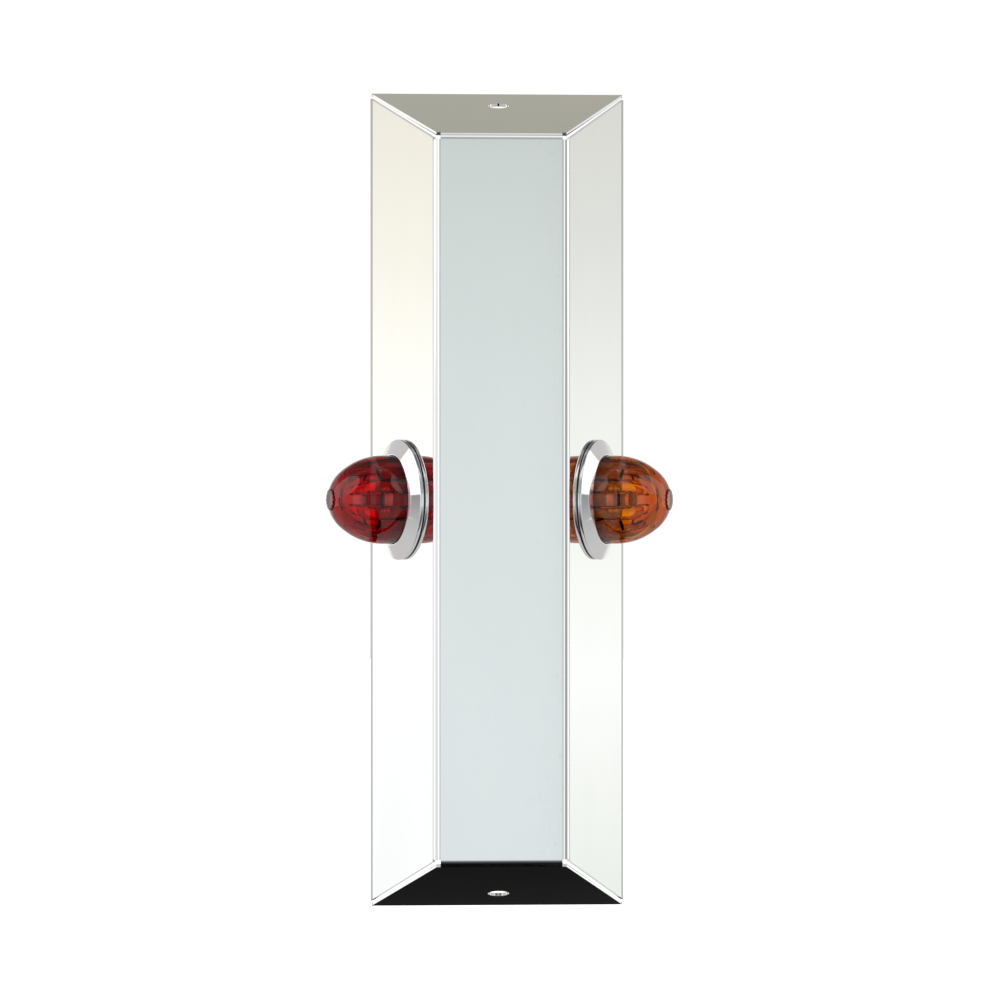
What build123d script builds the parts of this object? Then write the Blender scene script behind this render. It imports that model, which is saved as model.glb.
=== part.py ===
"""Double-face marker light box: an open-backed, polished sheet-metal housing with a bullet-shaped
marker lamp on each side flange, red on the left and amber on the right.

Units are millimetres. +X is to the right, +Z is up and the front panel faces -Y. The origin is the
centre of the open back, on the plane that the rear rim rests against.
"""
from build123d import *
from math import asin, atan2, cos, degrees, radians, sin, sqrt, tan
import os

# ---- Housing: one folded sheet, as five nodes that meet where the folds start --------------------
SHEET = 2.0                 # thickness of the stainless sheet
FRONT_WIDTH = 80.0          # front panel, between the theoretical fold lines
FRONT_HEIGHT = 439.3
DEPTH = 96.6                # from the front face to the rear rim
FLARE = 23.4                # angle between each flange and the depth axis, degrees
BEND_RADIUS = 5.1           # outside radius of the folds
SIDE_SETBACK = 3.3          # end of a side flange, short of the corner, measured along the fold
END_SETBACK_REAR = 0.75     # end of the top or bottom flange, which laps over it, at the rear rim
END_SETBACK_FOLD = 2.2      # the same at the fold
BOLT_HOLE_RADIUS = 6.7      # mounting hole in the top and the bottom flange
BOLT_HOLE_FROM_FOLD = 69.0  # from the end of the fold to the hole's centre
LAMP_FROM_FOLD = 49.6       # from the end of the fold to the lamp's axis

# ---- Lamp: radii, and heights above the outer face of the flange --------------------------------
STEM_RADIUS = 8.0           # hollow threaded stem that clamps the lamp, major radius
STEM_BORE = 4.5
STEM_END = -20.0
STEM_HOLE_RADIUS = 8.3      # hole in the flange that takes the stem
WASHER_THICKNESS = 1.2
PAD_RADIUS = 36.8           # rubber pad between the lamp and the flange
PAD_TOP = 0.5
BASE_RADIUS = 34.0
BASE_TOP = 2.4
SEAL_TOP = 3.2              # ring seal between base and lens
BEZEL_RADIUS = 37.4
BEZEL_RIM_TOP = 2.7
BEZEL_LIP_RADIUS = 28.3
BEZEL_TOP = 7.1
BEZEL_SCREW_CIRCLE = 32.2
BEZEL_SCREW_RADIUS = 1.1
BEZEL_SCREW_HEAD = 2.0      # radius of the countersunk head
LENS_RADIUS = 27.4
LENS_FLANGE_RADIUS = 30.0
LENS_FLANGE_TOP = 4.6
DOME_START = 12.2           # straight side of the lens below, bullet nose above
DOME_TOP = 47.3
LENS_NOSE = 22.5            # radius of the nose arc of the outside
BUTTON_RADIUS = 6.6         # raised, notched button on the lens tip
BUTTON_TOP = 47.5
LAND_RADIUS = 20.6          # inside of the lens between its flutes
LAND_TOP = 38.6
LAND_NOSE = 17.0            # radius of the nose arc of the lands
FLUTE_RADIUS = 4.4          # each flute is a round channel that ends under the nose
FLUTE_CIRCLE = 19.4
FLUTE_TOP = 41.4
FLUTE_NOSE = 19.5           # radius of the nose arc that limits the flutes
FLUTES = 8
GROOVE_HEIGHT = 20.4        # small V groove round the inside of the lens
GROOVE_DEPTH = 0.8
BOARD_RADIUS = 20.0
BOARD_BOTTOM = 4.4
BOARD_TOP = 6.0
BOARD_SCREW_CIRCLE = 17.3
BOARD_SCREW_RADIUS = 0.8
LED_CIRCLE = 10.8
LED_COUNT = 6
SCREW_COUNT = 3
CLEARANCE = 0.05            # radial, between a screw and its hole
LOOSE_FIT = 0.2             # radial, between nested rings

# ---- Derived from the driving dimensions --------------------------------------------------------
FOLD_ANGLE = 90 - FLARE
FLARE_SIN = sin(radians(FLARE))
FLARE_COS = cos(radians(FLARE))
FOLD_SETBACK = BEND_RADIUS * tan(radians(FOLD_ANGLE / 2))
FLAT_WIDTH = FRONT_WIDTH - 2 * FOLD_SETBACK
FLAT_HEIGHT = FRONT_HEIGHT - 2 * FOLD_SETBACK
FLANGE_LENGTH = (DEPTH - SHEET * FLARE_SIN) / FLARE_COS - FOLD_SETBACK


def flange_plane(turn):
    """Outer face of a flange: the origin is the middle of the fold's end, X runs along the fold, Y
    down the slope to the rear and Z outwards."""
    half_width = (FRONT_WIDTH if turn % 180 == 0 else FRONT_HEIGHT) / 2
    out = Vector(cos(radians(turn)), 0, sin(radians(turn)))
    back = Vector(0, 1, 0)
    slope = out * FLARE_SIN + back * FLARE_COS
    normal = out * FLARE_COS - back * FLARE_SIN
    start = out * half_width - back * DEPTH + slope * FOLD_SETBACK
    return Plane(origin=start, x_dir=slope.cross(normal), z_dir=normal)


def seat_plane(turn):
    """Seat of a lamp on a side flange: Z is the lamp's axis, pointing outwards, and X points up."""
    flange = flange_plane(turn)
    centre = flange.origin + flange.y_dir * LAMP_FROM_FOLD
    return Plane(origin=centre, x_dir=(0, 0, 1), z_dir=flange.z_dir)


def section(seat):
    """Half-section of a lamp: X is the radius and Y the height above the flange."""
    return Plane(origin=seat.origin, x_dir=seat.x_dir, z_dir=seat.x_dir.cross(seat.z_dir))


def bullet(radius, foot, top, nose):
    """Quarter outline of a bullet nose in a half-section: a long side arc that starts upright at
    the foot, tangent to a nose arc that is centred on the axis. Gives the two arcs."""
    nose_centre = top - foot - nose
    side = (radius**2 + nose_centre**2 - nose**2) / (2 * (radius - nose))
    meet = degrees(atan2(nose_centre, side - radius))
    side_arc = CenterArc((radius - side, foot), side, 0, meet)
    nose_arc = CenterArc((0, foot + nose_centre), nose, meet, 90 - meet)
    return side_arc, nose_arc


def axis_of(seat):
    """The lamp's axis."""
    return Axis(seat.origin, seat.z_dir)


def save(part, name):
    """Labels a piece and writes it under its node name."""
    part.label = name
    export_step(part, f"parts/{name}.step")


# ---- Housing ------------------------------------------------------------------------------------
def mitre_edge(half_corner, along, setback):
    """Half the flange's width at a distance down the slope."""
    spread = (FOLD_SETBACK + along) * FLARE_SIN
    return half_corner + spread - setback


def make_front_panel():
    """Flat front of the folded sheet, up to where the folds start."""
    front = Plane(origin=(0, -DEPTH, 0), x_dir=(1, 0, 0), z_dir=(0, -1, 0))
    with BuildPart() as panel:
        with BuildSketch(front):
            Rectangle(FLAT_WIDTH, FLAT_HEIGHT)
        extrude(amount=-SHEET)
    return panel.part


def make_flange(turn):
    """Fold and flared flange on one side of the sheet, mitred at both ends, with a stem hole in a
    side flange and a bolt hole in the top or bottom one. The ends of the top and bottom flanges lap
    over the ends of the side flanges and stay clear of them."""
    is_side = turn % 180 == 0
    fold_length = FLAT_HEIGHT if is_side else FLAT_WIDTH
    half_corner = (FRONT_HEIGHT if is_side else FRONT_WIDTH) / 2
    edge_fold = mitre_edge(half_corner, 0, SIDE_SETBACK if is_side else END_SETBACK_FOLD)
    edge_rear = mitre_edge(half_corner, FLANGE_LENGTH, SIDE_SETBACK if is_side else END_SETBACK_REAR)
    plane = flange_plane(turn)
    fold_axis = Axis(plane.origin - plane.z_dir * BEND_RADIUS, plane.x_dir)
    with BuildPart() as flange:
        with BuildSketch(Plane(origin=plane.origin, x_dir=plane.x_dir, z_dir=-plane.y_dir)):
            Rectangle(fold_length, SHEET, align=(Align.CENTER, Align.MAX))
        revolve(axis=fold_axis, revolution_arc=FOLD_ANGLE)
        with BuildSketch(plane):
            with BuildLine():
                Polyline(
                    (-edge_fold, 0),
                    (edge_fold, 0),
                    (edge_rear, FLANGE_LENGTH),
                    (-edge_rear, FLANGE_LENGTH),
                    close=True,
                )
            make_face()
            with Locations((0, LAMP_FROM_FOLD if is_side else BOLT_HOLE_FROM_FOLD)):
                Circle(STEM_HOLE_RADIUS if is_side else BOLT_HOLE_RADIUS, mode=Mode.SUBTRACT)
        extrude(amount=-SHEET)
    return flange.part


# ---- Lamp: what shows ---------------------------------------------------------------------------
def make_lens(seat):
    """Bullet-shaped lens: thick wall with round flutes and one V groove inside, a clamping flange at
    the foot and a notched button on the tip."""
    envelope = FLUTE_CIRCLE + FLUTE_RADIUS + 1
    button_edge = 0.4
    button_notches = 14
    notch_radius = 0.9
    notch_floor = 0.15
    button_root = 2.0
    nose_centre = DOME_TOP - LENS_NOSE
    button_foot = nose_centre + sqrt(LENS_NOSE**2 - BUTTON_RADIUS**2)
    groove_floor = LAND_RADIUS + GROOVE_DEPTH
    groove_mouth = GROOVE_DEPTH
    with BuildPart() as cavity:
        with BuildSketch(seat.offset(SEAL_TOP)):
            with PolarLocations(FLUTE_CIRCLE, FLUTES, start_angle=180 / FLUTES):
                Circle(FLUTE_RADIUS)
        extrude(amount=FLUTE_TOP - SEAL_TOP)
        with BuildSketch(section(seat)):
            with BuildLine():
                Polyline((0, FLUTE_TOP), (0, 0), (envelope, 0), (envelope, DOME_START))
                bullet(envelope, DOME_START, FLUTE_TOP, FLUTE_NOSE)
            make_face()
        revolve(axis=axis_of(seat), mode=Mode.INTERSECT)
        with BuildSketch(section(seat)):
            with BuildLine():
                Polyline((0, LAND_TOP), (0, SEAL_TOP), (LAND_RADIUS, SEAL_TOP), (LAND_RADIUS, DOME_START))
                bullet(LAND_RADIUS, DOME_START, LAND_TOP, LAND_NOSE)
            make_face()
            with BuildLine():
                Polyline(
                    (groove_floor, GROOVE_HEIGHT),
                    (groove_floor - 2 * GROOVE_DEPTH, GROOVE_HEIGHT - groove_mouth),
                    (groove_floor - 2 * GROOVE_DEPTH, GROOVE_HEIGHT + groove_mouth),
                    close=True,
                )
            make_face()
        revolve(axis=axis_of(seat))
    with BuildPart() as lens:
        with BuildSketch(section(seat)):
            with BuildLine():
                side_arc, nose_arc = bullet(LENS_RADIUS, DOME_START, DOME_TOP, LENS_NOSE)
                Polyline(
                    nose_arc @ 1,
                    (0, SEAL_TOP),
                    (LENS_FLANGE_RADIUS, SEAL_TOP),
                    (LENS_FLANGE_RADIUS, LENS_FLANGE_TOP),
                    (LENS_RADIUS, LENS_FLANGE_TOP),
                    side_arc @ 0,
                )
            make_face()
        revolve(axis=axis_of(seat))
        with BuildSketch(seat.offset(button_foot - button_root)):
            Circle(BUTTON_RADIUS)
        extrude(amount=BUTTON_TOP - button_foot + button_root)
        chamfer(lens.edges().filter_by(GeomType.CIRCLE).sort_by(axis_of(seat))[-1], button_edge)
        with BuildSketch(seat.offset(button_foot + notch_floor)):
            with PolarLocations(BUTTON_RADIUS, button_notches):
                Circle(notch_radius)
        extrude(amount=BUTTON_TOP - button_foot, mode=Mode.SUBTRACT)
        add(cavity.part, mode=Mode.SUBTRACT)
    return lens.part


def make_bezel(seat):
    """Plated conical ring over the lens flange, with rounded rim and lip, hollow underneath, with
    three screw bosses."""
    wall_outer = 35.9
    wall_height = 1.95
    bore = LENS_RADIUS + LOOSE_FIT
    flange_seat = LENS_FLANGE_RADIUS + LOOSE_FIT
    rim_round = 0.35
    lip_round = 0.25
    boss_radius = 1.6
    boss_top = 4.3
    screw_depth = 4.0
    with BuildPart() as bezel:
        with BuildSketch(section(seat)) as ring:
            with BuildLine():
                Polyline(
                    (wall_outer, PAD_TOP),
                    (BEZEL_RADIUS, PAD_TOP),
                    (BEZEL_RADIUS, BEZEL_RIM_TOP),
                    (BEZEL_LIP_RADIUS, BEZEL_TOP),
                    (bore, BEZEL_TOP),
                    (bore, LENS_FLANGE_TOP),
                    (flange_seat, LENS_FLANGE_TOP),
                    (wall_outer, wall_height),
                    close=True,
                )
            make_face()
            fillet(ring.vertices().sort_by(Axis.X)[-2:], rim_round)
            fillet(ring.vertices().sort_by(Axis.Y)[-2:], lip_round)
        revolve(axis=axis_of(seat))
        with BuildSketch(seat.offset(BASE_TOP)):
            with PolarLocations(BEZEL_SCREW_CIRCLE, SCREW_COUNT):
                Circle(boss_radius)
        extrude(amount=boss_top - BASE_TOP)
        with BuildSketch(seat.offset(BASE_TOP)):
            with PolarLocations(BEZEL_SCREW_CIRCLE, SCREW_COUNT):
                Circle(BEZEL_SCREW_RADIUS + CLEARANCE)
        extrude(amount=screw_depth - BASE_TOP, mode=Mode.SUBTRACT)
    return bezel.part


def make_pad(seat):
    """Rubber pad that seals the lamp to the flange."""
    with BuildPart() as pad:
        with BuildSketch(seat):
            Circle(PAD_RADIUS)
            Circle(STEM_RADIUS + LOOSE_FIT, mode=Mode.SUBTRACT)
        extrude(amount=PAD_TOP)
    return pad.part


# ---- Lamp: what is inside -----------------------------------------------------------------------
def make_lens_seal(seat):
    """Flat rubber ring between the base and the lens flange."""
    seal_bore = 25.0
    with BuildPart() as seal:
        with BuildSketch(seat.offset(BASE_TOP)):
            Circle(LENS_FLANGE_RADIUS)
            Circle(seal_bore, mode=Mode.SUBTRACT)
        extrude(amount=SEAL_TOP - BASE_TOP)
    return seal.part


def make_base(seat):
    """Round base plate with a hollow threaded stem, board posts and countersunk screw holes."""
    stem_chamfer = 0.6
    post_radius = 2.0
    with BuildPart() as base:
        with BuildSketch(section(seat)):
            with BuildLine():
                Polyline(
                    (STEM_BORE, STEM_END),
                    (STEM_RADIUS - stem_chamfer, STEM_END),
                    (STEM_RADIUS, STEM_END + stem_chamfer),
                    (STEM_RADIUS, PAD_TOP),
                    (BASE_RADIUS, PAD_TOP),
                    (BASE_RADIUS, BASE_TOP),
                    (STEM_BORE, BASE_TOP),
                    close=True,
                )
            make_face()
        revolve(axis=axis_of(seat))
        with BuildSketch(seat.offset(BASE_TOP)):
            with PolarLocations(BOARD_SCREW_CIRCLE, SCREW_COUNT):
                Circle(post_radius)
                Circle(BOARD_SCREW_RADIUS + CLEARANCE, mode=Mode.SUBTRACT)
        extrude(amount=BOARD_BOTTOM - BASE_TOP)
        with Locations(seat.offset(PAD_TOP)):
            with PolarLocations(BEZEL_SCREW_CIRCLE, SCREW_COUNT):
                Cone(
                    BEZEL_SCREW_HEAD + CLEARANCE,
                    BEZEL_SCREW_RADIUS + CLEARANCE,
                    BASE_TOP - PAD_TOP,
                    align=(Align.CENTER, Align.CENTER, Align.MIN),
                    mode=Mode.SUBTRACT,
                )
    return base.part


def make_bezel_screws(seat):
    """Three countersunk screws that hold the bezel to the base from below."""
    tip = 3.8
    with BuildPart() as screws:
        with Locations(seat.offset(PAD_TOP)):
            with PolarLocations(BEZEL_SCREW_CIRCLE, SCREW_COUNT):
                Cone(
                    BEZEL_SCREW_HEAD,
                    BEZEL_SCREW_RADIUS,
                    BASE_TOP - PAD_TOP,
                    align=(Align.CENTER, Align.CENTER, Align.MIN),
                )
        with BuildSketch(seat.offset(BASE_TOP)):
            with PolarLocations(BEZEL_SCREW_CIRCLE, SCREW_COUNT):
                Circle(BEZEL_SCREW_RADIUS)
        extrude(amount=tip - BASE_TOP)
    return screws.part


def make_board(seat):
    """Round circuit board on the base's posts."""
    with BuildPart() as board:
        with BuildSketch(seat.offset(BOARD_BOTTOM)):
            Circle(BOARD_RADIUS)
            with PolarLocations(BOARD_SCREW_CIRCLE, SCREW_COUNT):
                Circle(BOARD_SCREW_RADIUS + CLEARANCE, mode=Mode.SUBTRACT)
        extrude(amount=BOARD_TOP - BOARD_BOTTOM)
    return board.part


def make_board_screws(seat):
    """Three pan-head screws that hold the board."""
    head_radius = 1.6
    head_top = 6.9
    tip = 2.9
    with BuildPart() as screws:
        with BuildSketch(seat.offset(BOARD_TOP)):
            with PolarLocations(BOARD_SCREW_CIRCLE, SCREW_COUNT):
                Circle(head_radius)
        extrude(amount=head_top - BOARD_TOP)
        with BuildSketch(seat.offset(tip)):
            with PolarLocations(BOARD_SCREW_CIRCLE, SCREW_COUNT):
                Circle(BOARD_SCREW_RADIUS)
        extrude(amount=BOARD_TOP - tip)
    return screws.part


def make_leds(seat):
    """One light-emitting diode in the middle of the board and a ring around it, each a square
    package with a domed top."""
    package = 3.0
    package_height = 1.2
    dome_radius = 1.3
    with BuildPart() as leds:
        with BuildSketch(seat.offset(BOARD_TOP)):
            Rectangle(package, package)
            with PolarLocations(LED_CIRCLE, LED_COUNT):
                Rectangle(package, package)
        extrude(amount=package_height)
        with Locations(seat.offset(BOARD_TOP + package_height)):
            Sphere(dome_radius, arc_size1=0)
            with PolarLocations(LED_CIRCLE, LED_COUNT):
                Sphere(dome_radius, arc_size1=0)
    return leds.part


def make_resistors(seat):
    """Four chip resistors under the board."""
    length = 3.2
    width = 1.6
    thickness = 0.6
    circle = 11.5
    count = 4
    with BuildPart() as resistors:
        with BuildSketch(seat.offset(BOARD_BOTTOM)):
            with PolarLocations(circle, count):
                Rectangle(width, length)
        extrude(amount=-thickness)
    return resistors.part


def make_terminals(seat):
    """Two brass pins under the board, over the stem's bore, for the leads."""
    pin_radius = 0.6
    pin_pitch = 4.4
    pin_end = -4.0
    with BuildPart() as terminals:
        with BuildSketch(seat.offset(pin_end)):
            with GridLocations(pin_pitch, 0, 2, 1):
                Circle(pin_radius)
        extrude(amount=BOARD_BOTTOM - pin_end)
    return terminals.part


def make_reflector(seat):
    """Metallised conical ring around the diodes, on a thin skirt."""
    outer = 19.9
    skirt = 19.3
    throat = 14.3
    throat_top = 7.9
    top = 12.0
    wall = 0.7
    with BuildPart() as reflector:
        with BuildSketch(section(seat)):
            with BuildLine():
                Polyline(
                    (skirt, BOARD_TOP),
                    (outer, BOARD_TOP),
                    (outer, top),
                    (skirt, top),
                    (throat, throat_top),
                    (throat, throat_top - wall),
                    (skirt, top - 2 * wall),
                    close=True,
                )
            make_face()
        revolve(axis=axis_of(seat))
    return reflector.part


def make_optic(seat):
    """Clear light guide over the middle diode: a skirt on the board, a stepped shoulder and a
    tapered column with a domed end."""
    skirt_inner = 5.2
    skirt_outer = 6.4
    shoulder = 8.2
    hollow_top = 9.4
    steps = ((8.2, 10.8), (7.2, 10.8), (7.2, 11.6), (6.2, 11.6), (5.4, 22.4))
    dome_top = 26.4
    dome_radius, dome_foot = steps[-1]
    dome_rise = dome_top - dome_foot
    ball = (dome_radius**2 + dome_rise**2) / (2 * dome_rise)
    ball_start = degrees(asin((ball - dome_rise) / ball))
    with BuildPart() as optic:
        with BuildSketch(section(seat)):
            with BuildLine():
                Polyline(
                    (0, dome_top),
                    (0, hollow_top),
                    (skirt_inner, hollow_top),
                    (skirt_inner, BOARD_TOP),
                    (skirt_outer, BOARD_TOP),
                    (skirt_outer, hollow_top),
                    (shoulder, hollow_top),
                    *steps,
                )
                CenterArc((0, dome_top - ball), ball, ball_start, 90 - ball_start)
            make_face()
        revolve(axis=axis_of(seat))
    return optic.part


# ---- Lamp: what clamps it -----------------------------------------------------------------------
def make_lock_washer(seat):
    """Internal-tooth lock washer inside the housing."""
    outer = 12.5
    tooth_root = 10.2
    tooth_count = 12
    notch_radius = 1.15
    with BuildPart() as washer:
        with BuildSketch(seat.offset(-SHEET)):
            Circle(outer)
            Circle(STEM_RADIUS + LOOSE_FIT, mode=Mode.SUBTRACT)
            with PolarLocations(tooth_root - notch_radius, tooth_count):
                Circle(notch_radius, mode=Mode.SUBTRACT)
        extrude(amount=-WASHER_THICKNESS)
    return washer.part


def make_nut(seat):
    """Thin hexagon nut on the stem, chamfered on both faces."""
    across_flats = 24.0
    thickness = 6.0
    chamfer_rise = 1.0
    corner = across_flats / sqrt(3)
    beyond_corner = corner + 1
    with BuildPart() as nut:
        with BuildSketch(seat.offset(-SHEET - WASHER_THICKNESS)):
            RegularPolygon(corner, 6)
            Circle(STEM_RADIUS + CLEARANCE, mode=Mode.SUBTRACT)
        extrude(amount=-thickness)
        inner_face = -SHEET - WASHER_THICKNESS
        outer_face = inner_face - thickness
        with BuildSketch(section(seat)):
            with BuildLine():
                Polyline(
                    (0, inner_face),
                    (across_flats / 2, inner_face),
                    (beyond_corner, inner_face - chamfer_rise),
                    (beyond_corner, outer_face + chamfer_rise),
                    (across_flats / 2, outer_face),
                    (0, outer_face),
                    close=True,
                )
            make_face()
        revolve(axis=axis_of(seat), mode=Mode.INTERSECT)
    return nut.part


def make_grommet(seat):
    """Rubber plug in the stem's end, with two holes for the leads."""
    plug_radius = STEM_BORE - CLEARANCE
    plug_depth = 8.0
    flange_radius = 6.8
    flange_thickness = 1.5
    lead_radius = 1.1
    lead_pitch = 4.4
    with BuildPart() as grommet:
        with BuildSketch(seat.offset(STEM_END)):
            Circle(plug_radius)
            with GridLocations(lead_pitch, 0, 2, 1):
                Circle(lead_radius, mode=Mode.SUBTRACT)
        extrude(amount=plug_depth)
        with BuildSketch(seat.offset(STEM_END)):
            Circle(flange_radius)
            with GridLocations(lead_pitch, 0, 2, 1):
                Circle(lead_radius, mode=Mode.SUBTRACT)
        extrude(amount=-flange_thickness)
    return grommet.part


LAMP_PIECES = {
    "lens": make_lens,
    "bezel": make_bezel,
    "mounting_pad": make_pad,
    "lens_seal": make_lens_seal,
    "base": make_base,
    "bezel_screws": make_bezel_screws,
    "board": make_board,
    "board_screws": make_board_screws,
    "leds": make_leds,
    "resistors": make_resistors,
    "terminals": make_terminals,
    "reflector": make_reflector,
    "optic": make_optic,
    "lock_washer": make_lock_washer,
    "nut": make_nut,
    "grommet": make_grommet,
}
FLANGE_TURNS = {"right": 0, "top": 90, "left": 180, "bottom": 270}
LAMP_TURNS = {"red": FLANGE_TURNS["left"], "amber": FLANGE_TURNS["right"]}

os.makedirs("parts", exist_ok=True)
save(make_front_panel(), "front_panel")
for side, turn in FLANGE_TURNS.items():
    save(make_flange(turn), f"{side}_flange")
for colour, turn in LAMP_TURNS.items():
    for piece, make_piece in LAMP_PIECES.items():
        save(make_piece(seat_plane(turn)), f"{colour}_{piece}")
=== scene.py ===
"""Looks of the double-face marker light box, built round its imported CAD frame."""

import math

import bmesh
import bpy
from mathutils import Matrix, Vector
from mathutils.geometry import delaunay_2d_cdt


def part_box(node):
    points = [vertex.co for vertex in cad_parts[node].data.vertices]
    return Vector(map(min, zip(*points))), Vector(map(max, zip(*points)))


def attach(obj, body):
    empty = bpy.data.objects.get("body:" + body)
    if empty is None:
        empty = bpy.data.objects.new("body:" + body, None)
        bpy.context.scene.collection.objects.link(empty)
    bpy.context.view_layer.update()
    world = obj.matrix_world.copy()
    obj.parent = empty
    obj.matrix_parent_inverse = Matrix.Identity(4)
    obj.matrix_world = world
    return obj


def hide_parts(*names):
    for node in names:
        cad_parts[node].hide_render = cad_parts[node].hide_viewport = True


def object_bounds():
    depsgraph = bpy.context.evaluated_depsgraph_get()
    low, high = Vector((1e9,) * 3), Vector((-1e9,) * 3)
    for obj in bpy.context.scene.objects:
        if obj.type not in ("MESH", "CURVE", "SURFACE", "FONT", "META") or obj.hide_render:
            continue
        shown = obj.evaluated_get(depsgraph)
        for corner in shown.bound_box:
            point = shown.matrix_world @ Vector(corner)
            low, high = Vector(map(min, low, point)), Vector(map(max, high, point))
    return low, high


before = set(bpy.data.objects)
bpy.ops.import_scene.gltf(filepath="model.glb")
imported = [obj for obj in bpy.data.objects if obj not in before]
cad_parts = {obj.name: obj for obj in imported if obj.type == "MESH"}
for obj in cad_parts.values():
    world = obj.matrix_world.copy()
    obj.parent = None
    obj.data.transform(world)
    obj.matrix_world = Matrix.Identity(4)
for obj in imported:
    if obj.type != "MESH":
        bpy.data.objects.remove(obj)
cad_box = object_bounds()
scene = bpy.context.scene
MM = 0.001

# ---- Sizes shared with the CAD, in millimetres ----------------------------------------------------
SHEET = 2.0
FLARE = math.radians(23.4)
BEND_RADIUS = 5.1
FOLD_ANGLE = math.pi / 2 - FLARE
SETBACK = BEND_RADIUS * math.tan(FOLD_ANGLE / 2)
SIDE_SETBACK = 3.3
END_SETBACK_REAR = 0.75
END_SETBACK_FOLD = 2.2
BOLT_HOLE_RADIUS = 6.7
BOLT_HOLE_FROM_FOLD = 69.0
STEM_HOLE_RADIUS = 8.3
LAMP_FROM_FOLD = 49.6
FLANGE_TURNS = (0, 90, 180, 270)    # right, top, left and bottom, about the depth axis, degrees
LAMP_TURNS = {"red": 180, "amber": 0}

panel_low, panel_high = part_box("front_panel")
FLAT_WIDTH = (panel_high.x - panel_low.x) / MM
FLAT_HEIGHT = (panel_high.z - panel_low.z) / MM
DEPTH = -panel_low.y / MM
FRONT_WIDTH = FLAT_WIDTH + 2 * SETBACK
FRONT_HEIGHT = FLAT_HEIGHT + 2 * SETBACK
FLANGE_LENGTH = (DEPTH - SHEET * math.sin(FLARE)) / math.cos(FLARE) - SETBACK


# ---- Node helpers ---------------------------------------------------------------------------------
class Nodes:
    """Short way to add and link shader nodes."""

    def __init__(self, tree):
        self.tree = tree
        tree.nodes.clear()

    def add(self, kind, **values):
        node = self.tree.nodes.new(kind)
        for name, value in values.items():
            setattr(node, name, value)
        return node

    def put(self, socket, value):
        """A number or colour is set, a socket is linked."""
        if isinstance(value, bpy.types.NodeSocket):
            self.tree.links.new(value, socket)
        elif value is not None:
            socket.default_value = value

    def math(self, operation, a, b=None, c=None):
        node = self.add("ShaderNodeMath", operation=operation)
        for i, value in enumerate((a, b, c)):
            self.put(node.inputs[i], value)
        return node.outputs[0]

    def mix(self, factor, a, b, blend="MIX"):
        node = self.add("ShaderNodeMix", data_type="RGBA", blend_type=blend)
        self.put(node.inputs[0], factor)
        self.put(node.inputs[6], a)
        self.put(node.inputs[7], b)
        return node.outputs[2]

    def ramp(self, value, *stops):
        """Colour ramp; each stop is a place and a colour or grey level."""
        node = self.add("ShaderNodeValToRGB")
        elements = node.color_ramp.elements
        while len(elements) < len(stops):
            elements.new(0.5)
        for element, (place, colour) in zip(elements, stops):
            element.position = place
            element.color = rgba(colour)
        self.put(node.inputs[0], value)
        return node.outputs[0]

    def between(self, value, low, high, to_low=0.0, to_high=1.0):
        """Smooth step from to_low to to_high as the value goes from low to high."""
        node = self.add("ShaderNodeMapRange", interpolation_type="SMOOTHSTEP")
        for i, number in enumerate((value, low, high, to_low, to_high)):
            self.put(node.inputs[i], number)
        return node.outputs[0]

    def noise(self, vector, scale, detail=2.0, roughness=0.5, distortion=0.0):
        node = self.add("ShaderNodeTexNoise")
        self.put(node.inputs["Vector"], vector)
        self.put(node.inputs["Scale"], scale)
        self.put(node.inputs["Detail"], detail)
        self.put(node.inputs["Roughness"], roughness)
        self.put(node.inputs["Distortion"], distortion)
        return node.outputs["Fac"]

    def place(self, scale):
        """Object coordinates, stretched."""
        mapping = self.add("ShaderNodeMapping")
        mapping.inputs["Scale"].default_value = scale
        self.put(mapping.inputs["Vector"], self.add("ShaderNodeTexCoord").outputs["Object"])
        return mapping.outputs[0]

    def bump(self, height, strength, distance, normal=None):
        node = self.add("ShaderNodeBump")
        self.put(node.inputs["Height"], height)
        self.put(node.inputs["Strength"], strength)
        self.put(node.inputs["Distance"], distance)
        if normal is not None:
            self.put(node.inputs["Normal"], normal)
        return node.outputs[0]

    def edge(self, radius, low=0.004, high=0.05):
        """Near 1 along sharp edges, from the difference between the bevelled and the true normal."""
        bevel = self.add("ShaderNodeBevel", samples=4)
        bevel.inputs["Radius"].default_value = radius
        geometry = self.add("ShaderNodeNewGeometry")
        dot = self.add("ShaderNodeVectorMath", operation="DOT_PRODUCT")
        self.put(dot.inputs[0], bevel.outputs[0])
        self.put(dot.inputs[1], geometry.outputs["Normal"])
        return self.between(self.math("SUBTRACT", 1.0, dot.outputs["Value"]), low, high)


def rgba(colour):
    if isinstance(colour, (int, float)):
        return (colour, colour, colour, 1.0)
    return (*colour[:3], 1.0)


def material(name):
    made = bpy.data.materials.new(name)
    made.use_nodes = True
    nodes = Nodes(made.node_tree)
    shader = nodes.add("ShaderNodeBsdfPrincipled")
    output = nodes.add("ShaderNodeOutputMaterial")
    nodes.put(output.inputs["Surface"], shader.outputs[0])
    return made, nodes, shader, output


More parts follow.
